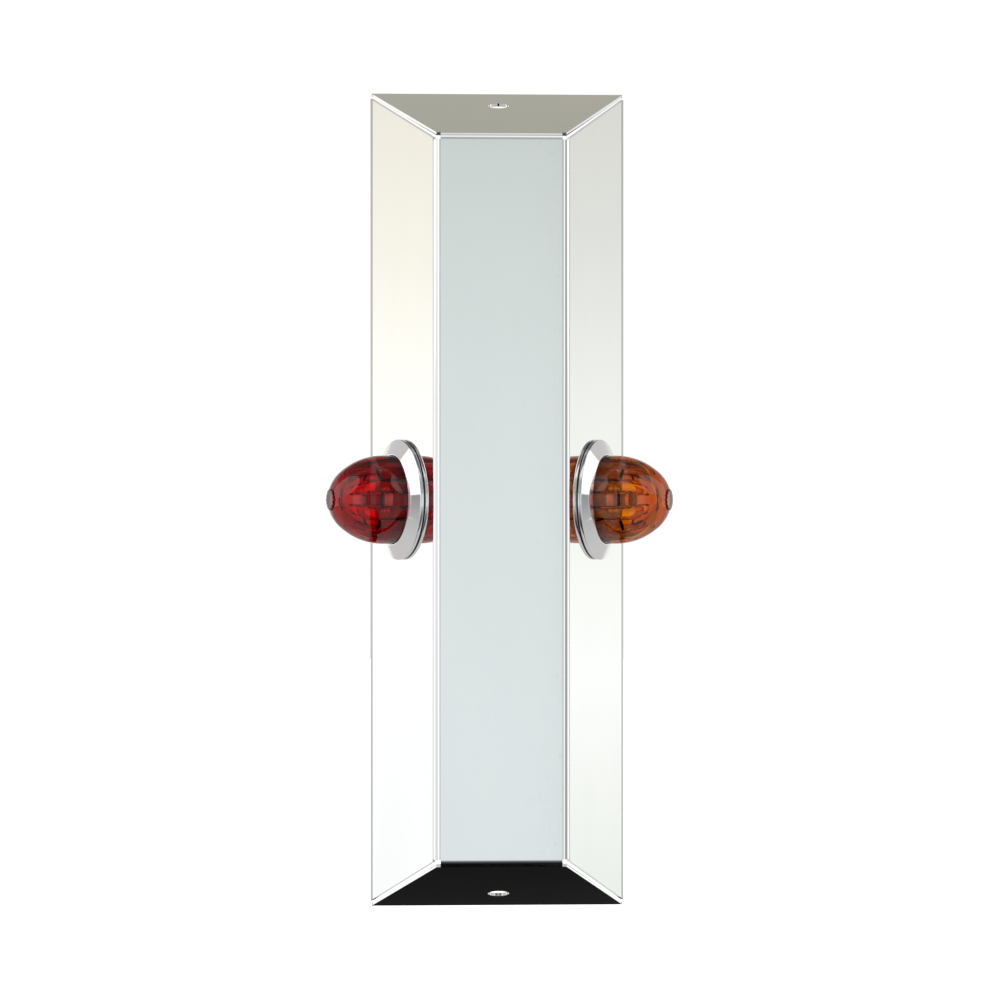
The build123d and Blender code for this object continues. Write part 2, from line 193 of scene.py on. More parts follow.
# ---- Materials ------------------------------------------------------------------------------------
def polished_steel(name):
    """Mirror-polished stainless sheet: very fine grain, clouds, a soft wave, and cut edges that are
    rougher and darkened with painted shade lines.
    """
    made, nodes, shader, _ = material(name)
    grain = nodes.noise(nodes.place((9000, 9000, 60)), 1.0, 3.0, 0.6)
    clouds = nodes.noise(nodes.place((22, 22, 9)), 1.0, 4.0, 0.62, 0.6)
    spots = nodes.noise(nodes.place((420, 420, 420)), 1.0, 2.0, 0.5)
    wave = nodes.noise(nodes.place((7, 7, 3.5)), 1.0, 1.0, 0.4)
    tone = nodes.ramp(clouds, (0.35, (0.905, 0.915, 0.918)), (0.65, (0.925, 0.93, 0.928)))
    tone = nodes.mix(nodes.between(grain, 0.35, 0.7, 0.0, 0.05), tone, rgba((0.8, 0.81, 0.82)))
    across = nodes.add("ShaderNodeSeparateXYZ")
    nodes.put(across.inputs[0], nodes.add("ShaderNodeTexCoord").outputs["Object"])
    # Painted shade: sharp edges and the side flanges' rear rims get a darker base colour, drawn as dark
    # lines; the extra roughness there is the cut edges' own duller finish.
    rim_start, rim_full = 0.0798, 0.0800    # metres from the middle plane, at the side rims
    rim = nodes.between(nodes.math("ABSOLUTE", across.outputs[0]), rim_start, rim_full)
    rough_edge_and_painted_shade = nodes.math("MAXIMUM", nodes.edge(0.0005, 0.01, 0.12), rim)
    tone = nodes.mix(rough_edge_and_painted_shade, tone, rgba((0.52, 0.52, 0.515)))
    nodes.put(shader.inputs["Base Color"], tone)
    shader.inputs["Metallic"].default_value = 1.0
    rough = nodes.math("ADD", nodes.between(clouds, 0.3, 0.7, 0.03, 0.05),
                       nodes.between(grain, 0.3, 0.75, 0.0, 0.03))
    rough = nodes.math("MULTIPLY_ADD", rough_edge_and_painted_shade, 0.2, rough)
    rough = nodes.math("ADD", rough, nodes.between(spots, 0.62, 0.75, 0.0, 0.04))
    nodes.put(shader.inputs["Roughness"], rough)
    normal = nodes.bump(wave, 0.12, 0.002)
    nodes.put(shader.inputs["Normal"], nodes.bump(grain, 0.02, 0.00005, normal))
    return made


def chrome(name, tone, rough):
    """Bright plating with a slight orange-peel, small marks and a darker base colour along its sharp
    edges.
    """
    made, nodes, shader, _ = material(name)
    peel = nodes.noise(nodes.place((260, 260, 260)), 1.0, 2.0, 0.5)
    marks = nodes.noise(nodes.place((1400, 1400, 500)), 1.0, 3.0, 0.6)
    dull = tuple(0.93 * c for c in tone)
    darker_edge_tone = tuple(0.6 * c for c in tone)
    marked = nodes.ramp(marks, (0.4, tone), (0.75, dull))
    # The base colour is darker along the sharp edges.
    tone = nodes.mix(nodes.edge(0.0004, 0.01, 0.1), marked, rgba(darker_edge_tone))
    nodes.put(shader.inputs["Base Color"], tone)
    shader.inputs["Metallic"].default_value = 1.0
    nodes.put(shader.inputs["Roughness"], nodes.between(marks, 0.4, 0.75, rough, rough + 0.05))
    nodes.put(shader.inputs["Normal"], nodes.bump(peel, 0.03, 0.0003))
    return made


def lens_glass(name, tint, absorb, density):
    """Clear tinted lens plastic: colour from its depth, faint flow lines and moulding haze."""
    made, nodes, shader, output = material(name)
    flow = nodes.noise(nodes.place((60, 60, 60)), 1.0, 2.0, 0.5, 1.2)
    specks = nodes.noise(nodes.place((900, 900, 900)), 1.0, 2.0, 0.5)
    darker = tuple(0.93 * c for c in tint)
    nodes.put(shader.inputs["Base Color"], nodes.ramp(flow, (0.35, tint), (0.65, darker)))
    shader.inputs["IOR"].default_value = 1.49
    shader.inputs["Transmission Weight"].default_value = 1.0
    shader.inputs["Specular IOR Level"].default_value = 0.22
    nodes.put(shader.inputs["Roughness"], nodes.between(specks, 0.55, 0.75, 0.0, 0.03))
    nodes.put(shader.inputs["Normal"], nodes.bump(flow, 0.04, 0.0006))
    volume = nodes.add("ShaderNodeVolumeAbsorption")
    volume.inputs["Color"].default_value = rgba(absorb)
    volume.inputs["Density"].default_value = density
    nodes.put(output.inputs["Volume"], volume.outputs[0])
    return made


def clear_optic(name):
    """Water-clear moulding with faint flow lines."""
    made, nodes, shader, _ = material(name)
    flow = nodes.noise(nodes.place((150, 150, 150)), 1.0, 2.0, 0.5, 0.8)
    nodes.put(shader.inputs["Base Color"], nodes.ramp(flow, (0.3, 0.97), (0.7, 0.93)))
    shader.inputs["IOR"].default_value = 1.49
    shader.inputs["Transmission Weight"].default_value = 1.0
    nodes.put(shader.inputs["Roughness"], nodes.between(flow, 0.3, 0.7, 0.01, 0.03))
    return made


def moulded(name, tone, rough, grain_scale=1800, depth=0.00004, wear=None):
    """Rubber or plastic: fine texture, cloudy tone, and a paler or darker line along the edges."""
    made, nodes, shader, _ = material(name)
    texture = nodes.noise(nodes.place((grain_scale,) * 3), 1.0, 3.0, 0.6)
    clouds = nodes.noise(nodes.place((90, 90, 90)), 1.0, 3.0, 0.55)
    light = tuple(min(1.0, 1.25 * c + 0.004) for c in tone)
    dark = tuple(0.8 * c for c in tone)
    colour = nodes.ramp(clouds, (0.3, dark), (0.7, light))
    if wear:
        colour = nodes.mix(nodes.edge(0.0003), colour, rgba(wear))
    nodes.put(shader.inputs["Base Color"], colour)
    nodes.put(shader.inputs["Roughness"],
              nodes.between(texture, 0.3, 0.7, rough - 0.08, rough + 0.08))
    nodes.put(shader.inputs["Normal"], nodes.bump(texture, 0.25, depth))
    return made


def plated(name, tone, rough):
    """Zinc or brass hardware: brushed turning marks, cloudy passivation and bright worn edges."""
    made, nodes, shader, _ = material(name)
    turning = nodes.noise(nodes.place((2600, 2600, 400)), 1.0, 3.0, 0.6)
    clouds = nodes.noise(nodes.place((240, 240, 240)), 1.0, 3.0, 0.55)
    dark = tuple(0.72 * c for c in tone)
    bright = tuple(min(1.0, 1.15 * c + 0.03) for c in tone)
    colour = nodes.mix(nodes.edge(0.0002), nodes.ramp(clouds, (0.3, dark), (0.65, tone)), rgba(bright))
    nodes.put(shader.inputs["Base Color"], colour)
    shader.inputs["Metallic"].default_value = 1.0
    nodes.put(shader.inputs["Roughness"],
              nodes.between(turning, 0.3, 0.7, rough - 0.07, rough + 0.09))
    nodes.put(shader.inputs["Normal"], nodes.bump(turning, 0.15, 0.00003))
    return made


STEEL = polished_steel("polished_steel")
CHROME = chrome("chrome_plate", (0.93, 0.93, 0.94), 0.03)
REFLECTOR = moulded("reflector_metallising", (0.8, 0.8, 0.8), 0.25)
LENSES = {
    "red": lens_glass("red_lens", (0.98, 0.06, 0.07), (0.87, 0.01, 0.015), 420),
    "amber": lens_glass("amber_lens", (1.0, 0.6, 0.05), (0.925, 0.79, 0.02), 440),
}
OPTIC = clear_optic("clear_optic")
RUBBER = moulded("rubber", (0.022, 0.022, 0.023), 0.62)
SILICONE = moulded("silicone", (0.72, 0.72, 0.7), 0.5)
PLASTIC = moulded("base_plastic", (0.66, 0.66, 0.64), 0.4, wear=(0.8, 0.8, 0.78))
MASK = moulded("solder_mask", (0.7, 0.72, 0.7), 0.35, 900)
PACKAGE = moulded("led_package", (0.82, 0.76, 0.48), 0.25, 2500, 0.00002)
CHIP = moulded("chip", (0.03, 0.03, 0.032), 0.4, 2500, wear=(0.55, 0.55, 0.55))
ZINC = plated("steel_hardware", (0.62, 0.62, 0.6), 0.3)
BRASS = plated("brass", (0.8, 0.6, 0.26), 0.24)


def dress(piece, finish):
    piece.data.materials.clear()
    piece.data.materials.append(finish)


def new_piece(name, verts, faces, finish, replaced):
    mesh = bpy.data.meshes.new(name)
    mesh.from_pydata([tuple(v) for v in verts], [], faces)
    mesh.validate()
    tidy = bmesh.new()
    tidy.from_mesh(mesh)
    bmesh.ops.remove_doubles(tidy, verts=tidy.verts, dist=1e-7)
    bmesh.ops.recalc_face_normals(tidy, faces=tidy.faces)
    tidy.to_mesh(mesh)
    tidy.free()
    piece = bpy.data.objects.new(name, mesh)
    scene.collection.objects.link(piece)
    dress(piece, finish)
    mesh.shade_smooth()
    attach(piece, "root")
    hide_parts(*replaced)
    return piece


def add_modifier(piece, kind, **values):
    made = piece.modifiers.new(kind.lower(), kind)
    for name, value in values.items():
        setattr(made, name, value)


# ---- Housing: one continuous sheet ----------------------------------------------------------------
CUT_EDGE_BEVEL = 0.00016        # metres
CUT_EDGE_ANGLE = 40             # degrees


def flange_axes(turn):
    """Origin at the middle of the fold's end, then the directions along the fold, down the slope and
    outwards, and the direction away from the panel's middle."""
    half = (FRONT_WIDTH if turn % 180 == 0 else FRONT_HEIGHT) / 2
    out = Vector((math.cos(math.radians(turn)), 0, math.sin(math.radians(turn))))
    back = Vector((0, 1, 0))
    slope = out * math.sin(FLARE) + back * math.cos(FLARE)
    normal = out * math.cos(FLARE) - back * math.sin(FLARE)
    origin = out * half - back * DEPTH + slope * SETBACK
    return origin, slope.cross(normal), slope, normal, out


def mitre_edge(half_corner, along, is_side):
    """Half the flange's width at a distance down the slope."""
    share = along / FLANGE_LENGTH
    at_end = END_SETBACK_FOLD + (END_SETBACK_REAR - END_SETBACK_FOLD) * share
    return half_corner + (SETBACK + along) * math.sin(FLARE) - (SIDE_SETBACK if is_side else at_end)


def flange_outline(half_fold, half_corner, is_side, hole_at, hole_radius):
    """Triangles of a flange in its own plane, around its hole."""
    steps = 64
    near, far = (mitre_edge(half_corner, along, is_side) for along in (0, FLANGE_LENGTH))
    outline = [(-near, 0), (-half_fold, 0), (half_fold, 0), (near, 0)]
    outline += [(far, FLANGE_LENGTH), (-far, FLANGE_LENGTH)]
    turns = [math.tau * i / steps for i in range(steps)]
    ring = [(hole_radius * math.cos(t), hole_at + hole_radius * math.sin(t)) for t in turns]
    points = [Vector(p) for p in outline + ring]
    edges = [(i, (i + 1) % len(outline)) for i in range(len(outline))]
    edges += [(len(outline) + i, len(outline) + (i + 1) % steps) for i in range(steps)]
    made, _, faces, *_ = delaunay_2d_cdt(points, edges, [], 1, 1e-6)
    kept = []
    for face in faces:
        middle = sum((made[i] for i in face), Vector((0, 0))) / len(face)
        if (middle - Vector((0, hole_at))).length > hole_radius * 0.98:
            kept.append(face)
    return made, kept


def build_sheet():
    """Outer face of the panel, folds and flanges, and the same again one sheet thickness inside."""
    fold_steps = 20
    points, normals, faces = [], [], []

    def point(position, normal):
        points.append(position)
        normals.append(normal)
        return len(points) - 1

    front = Vector((0, -1, 0))
    corners = [point(Vector((x * FLAT_WIDTH / 2, -DEPTH, z * FLAT_HEIGHT / 2)), front)
               for x, z in ((-1, -1), (1, -1), (1, 1), (-1, 1))]
    faces.append(corners)
    for turn in FLANGE_TURNS:
        is_side = turn % 180 == 0
        origin, along, slope, normal, out = flange_axes(turn)
        half_fold = (FLAT_HEIGHT if is_side else FLAT_WIDTH) / 2
        half_corner = (FRONT_HEIGHT if is_side else FRONT_WIDTH) / 2
        centre = origin - normal * BEND_RADIUS
        rows = []
        for i in range(fold_steps + 1):
            angle = FOLD_ANGLE * i / fold_steps
            here = front * math.cos(angle) + out * math.sin(angle)
            middle = centre + here * BEND_RADIUS
            rows.append([point(middle + along * side * half_fold, here) for side in (-1, 1)])
        for a, b in zip(rows, rows[1:]):
            faces.append([a[0], a[1], b[1], b[0]])
        flat, triangles = flange_outline(
            half_fold, half_corner, is_side,
            LAMP_FROM_FOLD if is_side else BOLT_HOLE_FROM_FOLD,
            STEM_HOLE_RADIUS if is_side else BOLT_HOLE_RADIUS,
        )
        made = [point(origin + along * p.x + slope * p.y, normal) for p in flat]
        faces += [[made[i] for i in t] for t in triangles]

    mesh = bmesh.new()
    layer = mesh.verts.layers.float_vector.new("out")
    outer = [mesh.verts.new(p * MM) for p in points]
    for face in faces:
        mesh.faces.new([outer[i] for i in face])
    for vert, normal in zip(outer, normals):
        vert[layer] = normal
    bmesh.ops.remove_doubles(mesh, verts=mesh.verts, dist=1e-6)
    bmesh.ops.recalc_face_normals(mesh, faces=mesh.faces)
    mesh.faces.ensure_lookup_table()
    mesh.verts.index_update()
    verts = [v.co.copy() for v in mesh.verts]
    inner = [v.co - v[layer] * SHEET * MM for v in mesh.verts]
    count = len(verts)
    loops = []
    for face in mesh.faces:
        loop = [v.index for v in face.verts]
        if face.normal.dot(face.verts[0][layer]) < 0:
            loop.reverse()
        loops.append(loop)
        loops.append([i + count for i in reversed(loop)])
    for edge in mesh.edges:
        if len(edge.link_faces) == 1:
            a, b = (v.index for v in edge.verts)
            loops.append([a, b, b + count, a + count])
    mesh.free()
    sheet = new_piece(
        "housing_sheet", verts + inner, loops, STEEL,
        ["front_panel", "right_flange", "top_flange", "left_flange", "bottom_flange"],
    )
    add_modifier(sheet, "BEVEL", width=CUT_EDGE_BEVEL, segments=2, limit_method="ANGLE",
                 angle_limit=math.radians(CUT_EDGE_ANGLE), use_clamp_overlap=True)
    add_modifier(sheet, "WEIGHTED_NORMAL", mode="FACE_AREA", weight=50, thresh=0.01)


build_sheet()


# ---- Lamps ----------------------------------------------------------------------------------------
LENS_RADIUS = 27.4
LENS_FLANGE_RADIUS = 30.0
SEAL_TOP = 3.2
LENS_FLANGE_TOP = 4.6
DOME_START = 12.2
DOME_TOP = 47.3
LENS_NOSE = 22.5
BUTTON_RADIUS = 6.6
BUTTON_TOP = 47.5
BUTTON_NOTCHES = 14
NOTCH_RADIUS = 0.9
LAND_RADIUS = 20.6
LAND_TOP = 38.6
LAND_NOSE = 17.0
FLUTES = 8
FLUTE_RADIUS = 4.4
FLUTE_CIRCLE = 19.4
FLUTE_TOP = 41.4
FLUTE_NOSE = 19.5
ENVELOPE_RADIUS = FLUTE_CIRCLE + FLUTE_RADIUS + 1
GROOVE_HEIGHT = 20.4
GROOVE_DEPTH = 0.8
GROOVE_STEEPNESS = 2
LENS_SHARP_ANGLE = 28           # degrees
BEZEL_SHARP_ANGLE = 35


def seat(turn):
    """Matrix from a lamp's own frame, Z outwards along its axis and X up, in metres."""
    origin, _, slope, normal, _ = flange_axes(turn)
    centre = (origin + slope * LAMP_FROM_FOLD) * MM
    up = Vector((0, 0, 1))
    across = normal.cross(up)
    return Matrix.Translation(centre) @ Matrix((up, across, normal)).transposed().to_4x4()


def bullet(radius, foot, top, nose, steps):
    """Outline of a bullet nose, foot to tip, as radius and height."""
    rise = top - foot - nose
    side = (radius**2 + rise**2 - nose**2) / (2 * (radius - nose))
    meet = math.atan2(rise, side - radius)
    share = side * meet / (side * meet + nose * (math.pi / 2 - meet))
    first = round(steps * share)
    points = []
    for i in range(first):
        angle = meet * i / first
        points.append((radius - side + side * math.cos(angle), foot + side * math.sin(angle)))
    rest = steps - first
    for i in range(rest + 1):
        angle = meet + (math.pi / 2 - meet) * i / rest
        points.append((nose * math.cos(angle), foot + rise + nose * math.sin(angle)))
    return points


class Shell:
    """Vertices and faces of a turned piece in a lamp's own frame."""

    def __init__(self, matrix):
        self.matrix = matrix
        self.verts = []
        self.faces = []

    def vert(self, radius, angle, height):
        point = Vector((radius * math.cos(angle), radius * math.sin(angle), height))
        self.verts.append(self.matrix @ (point * MM))
        return len(self.verts) - 1

    def ring(self, angles, place):
        """A ring of vertices; place gives the radius and height in each direction."""
        made = []
        for angle in angles:
            radius, height = place(angle)
            made.append(self.vert(radius, angle, height))
        return made

    def join(self, a, b):
        for i in range(len(a)):
            j = (i + 1) % len(a)
            self.faces.append([a[i], a[j], b[j], b[i]])

    def cap(self, ring, height):
        tip = self.vert(0, 0, height)
        for i in range(len(ring)):
            self.faces.append([ring[i], ring[(i + 1) % len(ring)], tip])

    def bridge(self, a, a_angles, b, b_angles):
        """Flat strip of triangles between two rings with different spacing."""
        i = j = 0
        while i < len(a) or j < len(b):
            next_a = a_angles[i + 1] if i + 1 < len(a) else math.tau + a_angles[0]
            next_b = b_angles[j + 1] if j + 1 < len(b) else math.tau + b_angles[0]
            here_a, here_b = a[i % len(a)], b[j % len(b)]
            if j >= len(b) or (i < len(a) and next_a <= next_b):
                self.faces.append([here_a, a[(i + 1) % len(a)], here_b])
                i += 1
            else:
                self.faces.append([here_a, b[(j + 1) % len(b)], here_b])
                j += 1


def lens_outside(shell):
    """Flange, bullet nose and notched button; gives the foot ring and its angles."""
    around = 384
    angles = [math.tau * i / around for i in range(around)]
    nose_centre = DOME_TOP - LENS_NOSE
    button_foot = nose_centre + math.sqrt(LENS_NOSE**2 - BUTTON_RADIUS**2)
    corner, nose_steps, flat_radius = 0.25, 72, 3.6
    outline = [(LENS_FLANGE_RADIUS, SEAL_TOP), (LENS_FLANGE_RADIUS, LENS_FLANGE_TOP)]
    outline += [(LENS_RADIUS + corner, LENS_FLANGE_TOP), (LENS_RADIUS, LENS_FLANGE_TOP + corner)]
    nose = bullet(LENS_RADIUS, DOME_START, DOME_TOP, LENS_NOSE, nose_steps)
    outline += [(r, h) for r, h in nose if r > BUTTON_RADIUS + 0.1]
    shoulder = [(0.0, 0.0), (0.0, 0.55), (0.06, 0.8), (0.2, 1.0), (0.45, 1.12), (1.1, 1.19)]
    button = [(BUTTON_RADIUS - inset, button_foot + rise) for inset, rise in shoulder]
    top = [(flat_radius, BUTTON_TOP)]

    def notched(radius, height):
        def place(angle):
            off = (angle * BUTTON_NOTCHES / math.tau + 0.5) % 1 - 0.5
            across = off * math.tau / BUTTON_NOTCHES * BUTTON_RADIUS
            cut = math.sqrt(max(0.0, NOTCH_RADIUS**2 - across**2))
            return min(radius, BUTTON_RADIUS - cut), height
        return place

    rings = [shell.ring(angles, lambda angle, r=r, h=h: (r, h)) for r, h in outline]
    rings.append(shell.ring(angles, lambda angle: (BUTTON_RADIUS, button_foot)))
    rings += [shell.ring(angles, notched(r, h)) for r, h in button + top]
    for a, b in zip(rings, rings[1:]):
        shell.join(a, b)
    shell.cap(rings[-1], BUTTON_TOP)
    return rings[0], angles


def height_on(outline, radius):
    """Height of a bullet outline at a radius."""
    for (r0, h0), (r1, h1) in zip(outline, outline[1:]):
        if r1 <= radius <= r0:
            return h0 + (h1 - h0) * (r0 - radius) / max(1e-9, r0 - r1)
    return outline[0][1] if radius > outline[0][0] else outline[-1][1]


def radius_on(outline, height):
    """Radius of a bullet outline at a height."""
    for (r0, h0), (r1, h1) in zip(outline, outline[1:]):
        if h0 <= height <= h1:
            return r0 + (r1 - r0) * (height - h0) / max(1e-9, h1 - h0)
    return outline[0][0]


def lens_inside(shell):
    """Lands, flutes with rounded ends and the V groove; gives the foot ring and its angles."""
    nose_steps = 240
    land = bullet(LAND_RADIUS, DOME_START, LAND_TOP, LAND_NOSE, nose_steps)
    envelope = bullet(ENVELOPE_RADIUS, DOME_START, FLUTE_TOP, FLUTE_NOSE, nose_steps)
    edge = math.asin(FLUTE_RADIUS / FLUTE_CIRCLE)
    pitch = math.tau / FLUTES
    in_flute, on_land = 20, 10
    offsets = [-edge * math.cos(math.pi * i / in_flute) for i in range(in_flute + 1)]
    sliver = 0.0008     # angle between a flute's edge and the land beside it
    gap = pitch - 2 * edge - 2 * sliver
    offsets += [edge + sliver + gap * i / on_land for i in range(on_land + 1)]
    angles = [pitch / 2 + pitch * k + off for k in range(FLUTES) for off in offsets]
    floor = LAND_RADIUS + GROOVE_DEPTH
    search_step, search_steps = 0.005, 400
    start_rise, same = 0.01, 1e-6
    rows = {"wall": 6, "groove": 6, "land": 10, "out": 10, "end": 12, "back": 6, "nose": 30}

    def run(first, last, steps):
        """Straight run of evenly spaced points."""
        reach, rise = last[0] - first[0], last[1] - first[1]
        return [(first[0] + reach * i / steps, first[1] + rise * i / steps)
                for i in range(1, steps + 1)]

    def along(outline, high, low, steps):
        """Along an outline from one radius to a smaller one, or to the tip where that one is 0."""
        places = []
        for i in range(1, steps + 1):
            share = i / steps
            if low > 0:
                radius = math.sqrt(max(0.0, high**2 + (low**2 - high**2) * share))
            else:
                radius = high * math.cos(share * math.pi / 2)
            places.append((radius, height_on(outline, radius)))
        return places

    def profile(off):
        """Outline from the foot to the tip in one direction."""
        inside = abs(off) <= edge
        if inside:
            root = math.sqrt(max(0.0, FLUTE_RADIUS**2 - (FLUTE_CIRCLE * math.sin(off)) ** 2))
            far = FLUTE_CIRCLE * math.cos(off) + root
            near = FLUTE_CIRCLE * math.cos(off) - root
        else:
            far = near = FLUTE_CIRCLE * math.cos(edge)
        wall = max(far, LAND_RADIUS) if inside else LAND_RADIUS
        points = [(wall, SEAL_TOP)] + run((wall, SEAL_TOP), (wall, DOME_START), rows["wall"])

        def bore(height):
            return max(radius_on(land, height), far if inside else 0.0)

        def cut(height):
            """Radius where the groove's flank stands at a height."""
            return floor - abs(height - GROOVE_HEIGHT) * GROOVE_STEEPNESS

        low = high = GROOVE_HEIGHT
        for _ in range(search_steps):
            if cut(low) > bore(low):
                low -= search_step
            if cut(high) > bore(high):
                high += search_step
        points += run(points[-1], (bore(DOME_START + start_rise), DOME_START + start_rise), 1)
        steps = rows["land"]
        for i in range(1, steps + 1):
            height = DOME_START + (low - DOME_START) * i / steps
            points.append((bore(height), height))
        half = rows["groove"] // 2
        points += run(points[-1], (max(cut(GROOVE_HEIGHT), bore(GROOVE_HEIGHT)), GROOVE_HEIGHT), half)
        points += run(points[-1], (bore(high), high), half)
        start = points[-1]
        if inside and start[0] <= far + same:
            points += run(start, start, rows["out"])
        else:
            points += along(land, start[0], far, rows["out"])
        here = points[-1]
        if inside:
            points += run(here, (far, height_on(envelope, far)), rows["back"])
            points += along(envelope, far, near, rows["end"])
            points += run(points[-1], (near, height_on(land, near)), rows["back"])
        else:
            points += run(here, here, 2 * rows["back"] + rows["end"])
        points += along(land, near, 0, rows["nose"])
        return points

    outlines = [profile((off + pitch / 2) % pitch - pitch / 2) for off in offsets] * FLUTES
    rings = []
    for row in range(len(outlines[0])):
        rings.append([shell.vert(outline[row][0], angle, outline[row][1])
                      for angle, outline in zip(angles, outlines)])
    for a, b in zip(rings, rings[1:]):
        shell.join(a, b)
    shell.cap(rings[-1], LAND_TOP)
    return rings[0], angles


def build_lens(colour, turn):
    """Lens with a smooth outside, a notched button on its tip, and lands and flutes inside."""
    shell = Shell(seat(turn))
    outer, outer_angles = lens_outside(shell)
    inner, inner_angles = lens_inside(shell)
    inner_angles = [a % math.tau for a in inner_angles]
    order = sorted(range(len(inner)), key=lambda i: inner_angles[i])
    shell.bridge([inner[i] for i in order], [inner_angles[i] for i in order], outer, outer_angles)
    lens = new_piece(f"{colour}_lens_moulding", shell.verts, shell.faces, LENSES[colour],
                     [f"{colour}_lens"])
    mark_sharp(lens, LENS_SHARP_ANGLE)
    add_modifier(lens, "WEIGHTED_NORMAL", mode="CORNER_ANGLE", weight=50, keep_sharp=True)


def mark_sharp(piece, degrees):
    """Edges bent by more than this angle stay crisp."""
    mesh = bmesh.new()
    mesh.from_mesh(piece.data)
    for edge in mesh.edges:
        if len(edge.link_faces) == 2 and edge.calc_face_angle(0.0) > math.radians(degrees):
            edge.smooth = False
    mesh.to_mesh(piece.data)
    mesh.free()


def build_bezel(colour, turn):
    """Plated conical ring: flat foot, rounded rim, straight cone and a small round lip."""
    around = 256
    outline = [
        (35.9, 0.5), (37.1, 0.5), (37.32, 0.58), (37.4, 0.8), (37.4, 2.2), (37.32, 2.5), (37.1, 2.76),
        (28.5, 6.98), (28.33, 7.06), (28.15, 7.1), (27.85, 7.09), (27.68, 7.02), (27.6, 6.88),
        (27.6, 4.6), (30.2, 4.6), (35.9, 1.95),
    ]
    shell = Shell(seat(turn))
    angles = [math.tau * i / around for i in range(around)]
    rings = [shell.ring(angles, lambda angle, place=place: place) for place in outline]
    for a, b in zip(rings, rings[1:] + rings[:1]):
        shell.join(a, b)
    bezel = new_piece(f"{colour}_bezel_ring", shell.verts, shell.faces, CHROME,
                      [f"{colour}_bezel"])
    mark_sharp(bezel, BEZEL_SHARP_ANGLE)
    add_modifier(bezel, "WEIGHTED_NORMAL", mode="FACE_AREA", weight=50, keep_sharp=True)


CARRIED = {
    "mounting_pad": RUBBER, "lens_seal": SILICONE, "base": PLASTIC, "bezel_screws": ZINC, "board": MASK,
    "board_screws": ZINC, "leds": PACKAGE, "resistors": CHIP, "terminals": BRASS,
    "reflector": REFLECTOR, "optic": OPTIC, "lock_washer": ZINC, "nut": ZINC, "grommet": RUBBER,
}
for colour, turn in LAMP_TURNS.items():
    build_lens(colour, turn)
    build_bezel(colour, turn)
    for part, finish in CARRIED.items():
        dress(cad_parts[f"{colour}_{part}"], finish)


# ---- Floor, light and camera ----------------------------------------------------------------------
def build_floor():
    """Plain pale floor under the box."""
    low = cad_box[0]
    radius, steps, drop = 2.2, 96, 0.0006
    mesh = bpy.data.meshes.new("floor")
    turns = [math.tau * i / steps for i in range(steps)]
    verts = [(radius * math.cos(t), radius * math.sin(t), low.z - drop) for t in turns]
    mesh.from_pydata(verts, [], [list(range(steps))])
    floor = bpy.data.objects.new("floor", mesh)
    scene.collection.objects.link(floor)
    made, nodes, shader, _ = material("floor")
    shade = nodes.noise(nodes.place((3, 3, 3)), 1.0, 2.0)
    nodes.put(shader.inputs["Base Color"], nodes.ramp(shade, (0.3, 0.8), (0.7, 0.83)))
    shader.inputs["Roughness"].default_value = 0.9
    shader.inputs["Emission Color"].default_value = (1, 1, 1, 1)
    shader.inputs["Emission Strength"].default_value = 0.98
    mesh.materials.append(made)
    floor.visible_glossy = False
    floor.visible_transmission = False
    floor.visible_diffuse = False
    floor.visible_shadow = False


